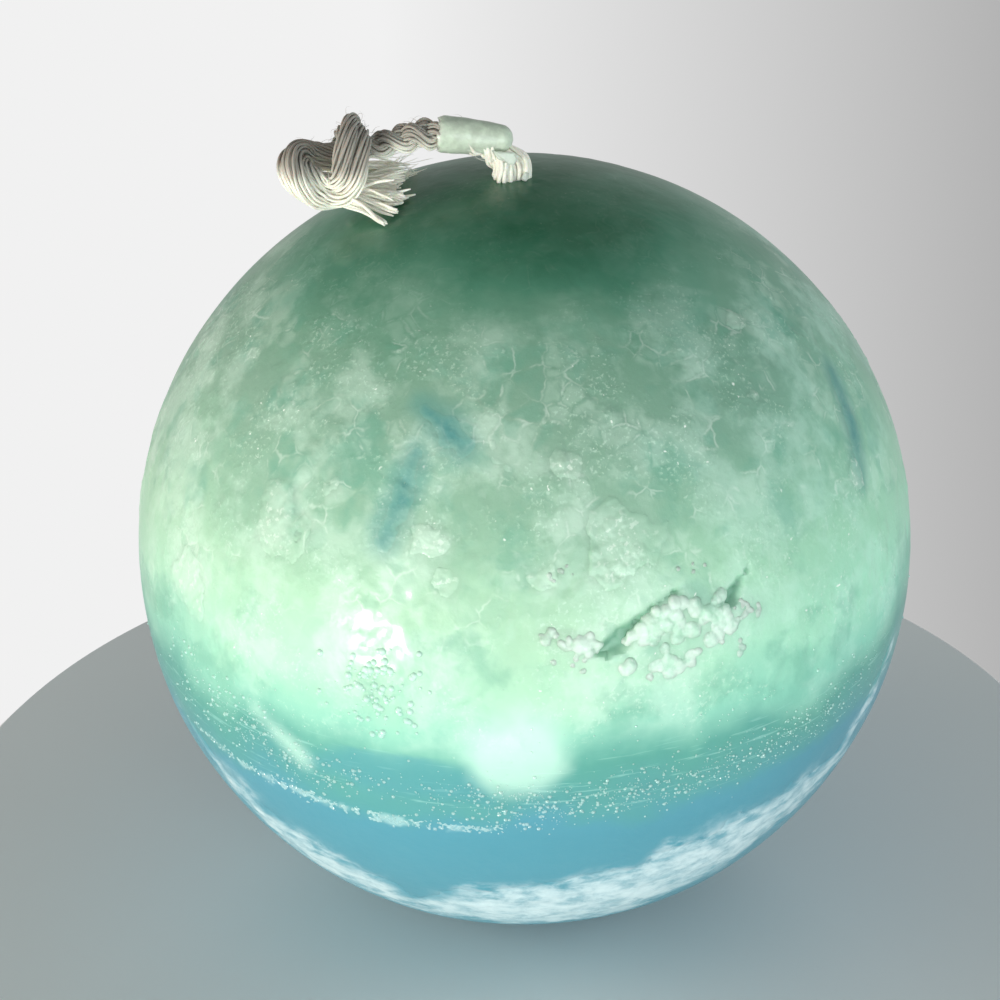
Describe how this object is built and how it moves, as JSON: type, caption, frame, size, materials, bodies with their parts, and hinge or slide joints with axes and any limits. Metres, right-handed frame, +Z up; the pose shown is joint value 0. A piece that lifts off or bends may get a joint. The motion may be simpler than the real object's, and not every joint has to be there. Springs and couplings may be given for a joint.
{
  "type": "ball candle",
  "caption": "Round candle in layers of poured wax, with a flat foot and a knotted braided wick that lies folded over on top and lifts at its root.",
  "frame": {"origin": "centre of the flat foot, on the surface that the candle stands on", "axes": "+Z up along the wick in the wax; the folded wick lies towards -X; the crevice with crumbs faces -Y"},
  "size_m": [0.08, 0.08, 0.0842],
  "materials": {
    "wax_blue": "satin blue wax",
    "wax_teal": "satin teal wax with small bubbles",
    "wax_mint": "mottled mint wax",
    "wax_green": "deep green wax",
    "wax_blue_sliver": "blue wax set into the mint wax",
    "wax_pale": "crystalline pale wax",
    "wax_frost": "white frosted wax skin",
    "wax_top_up": "satin pale blue wax",
    "wax_sleeve": "pale green translucent wax",
    "wick_cotton": "braided undyed cotton"
  },
  "bodies": {
    "candle": {"blue_base_pour": "wax_blue", "teal_pour": "wax_teal", "mint_chunk_pour": "wax_mint", "green_top_pour": "wax_green", "base_top_up": "wax_top_up", "blue_slivers": "wax_blue_sliver", "pale_chunks": "wax_pale", "wax_crumbs": "wax_pale", "frost_skin_right": "wax_frost", "frost_skin_left": "wax_frost", "wick_core": "wick_cotton", "wick_root": "wick_cotton", "wax_flake": "wax_sleeve"},
    "wick_end": {"wick_sleeve": "wax_sleeve", "wick_tail": "wick_cotton", "wick_knot": "wick_cotton", "frayed_strands": "wick_cotton"}
  },
  "joints": [
    {"name": "wick_lift", "type": "hinge", "parent": "candle", "child": "wick_end", "pos_m": [-0.0005, 0, 0.07983], "axis": [0, 1, 0], "range_deg": [0, 85]}
  ]
}
